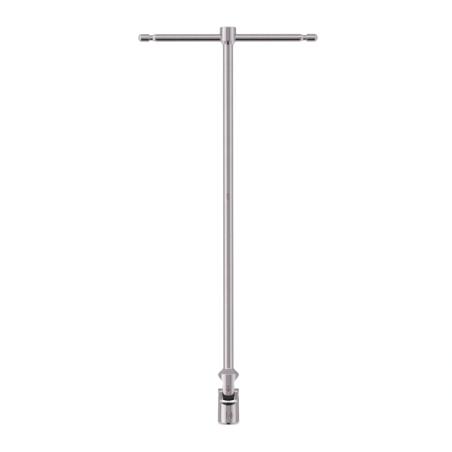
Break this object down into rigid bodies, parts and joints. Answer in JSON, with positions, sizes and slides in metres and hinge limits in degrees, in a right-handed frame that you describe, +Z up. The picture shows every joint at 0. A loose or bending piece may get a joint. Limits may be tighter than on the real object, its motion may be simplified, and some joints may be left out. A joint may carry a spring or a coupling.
{
  "type": "T-handle universal-joint socket wrench",
  "caption": "Long T-handle socket wrench: a sliding cross bar in a round head, a straight shank, and a hex socket on a universal joint.",
  "frame": {"origin": "centre of the socket's mouth face", "axes": "+Z up the shank towards the head, X along the cross bar, Y along the upper joint pin, towards the back"},
  "size_m": [0.1806, 0.0216, 0.4],
  "materials": {
    "chrome_body": "polished chrome plate",
    "chrome_bar": "polished chrome plate",
    "black_oxide": "matt black oxide",
    "bare_steel": "ground bare steel"
  },
  "bodies": {
    "handle": {"head": "chrome_body", "shank": "chrome_body", "upper_yoke": "chrome_body", "yoke_pin": "bare_steel", "detent_plug": "chrome_bar", "detent_spring": "bare_steel"},
    "cross_bar": {"tee_bar": "chrome_bar"},
    "ball": {"detent_ball": "bare_steel"},
    "block": {"joint_block": "black_oxide"},
    "drive": {"socket": "chrome_body", "socket_pin": "bare_steel"}
  },
  "joints": [
    {"name": "bar_slide", "type": "slide", "parent": "handle", "child": "cross_bar", "axis": [1, 0, 0], "range_m": [-0.0772, 0.0772]},
    {"name": "ball_press", "type": "slide", "parent": "handle", "child": "ball", "axis": [0, 0, 1], "range_m": [0, 0.0005], "stiffness_N_per_m": 1500, "springref_m": -0.002, "deforming": ["detent_spring"]},
    {"name": "upper_hinge", "type": "hinge", "parent": "handle", "child": "block", "pos_m": [0, 0, 0.0356], "axis": [0, 1, 0], "range_deg": [-40, 40]},
    {"name": "lower_hinge", "type": "hinge", "parent": "block", "child": "drive", "pos_m": [0, 0, 0.0298], "axis": [1, 0, 0], "range_deg": [-40, 40]}
  ]
}
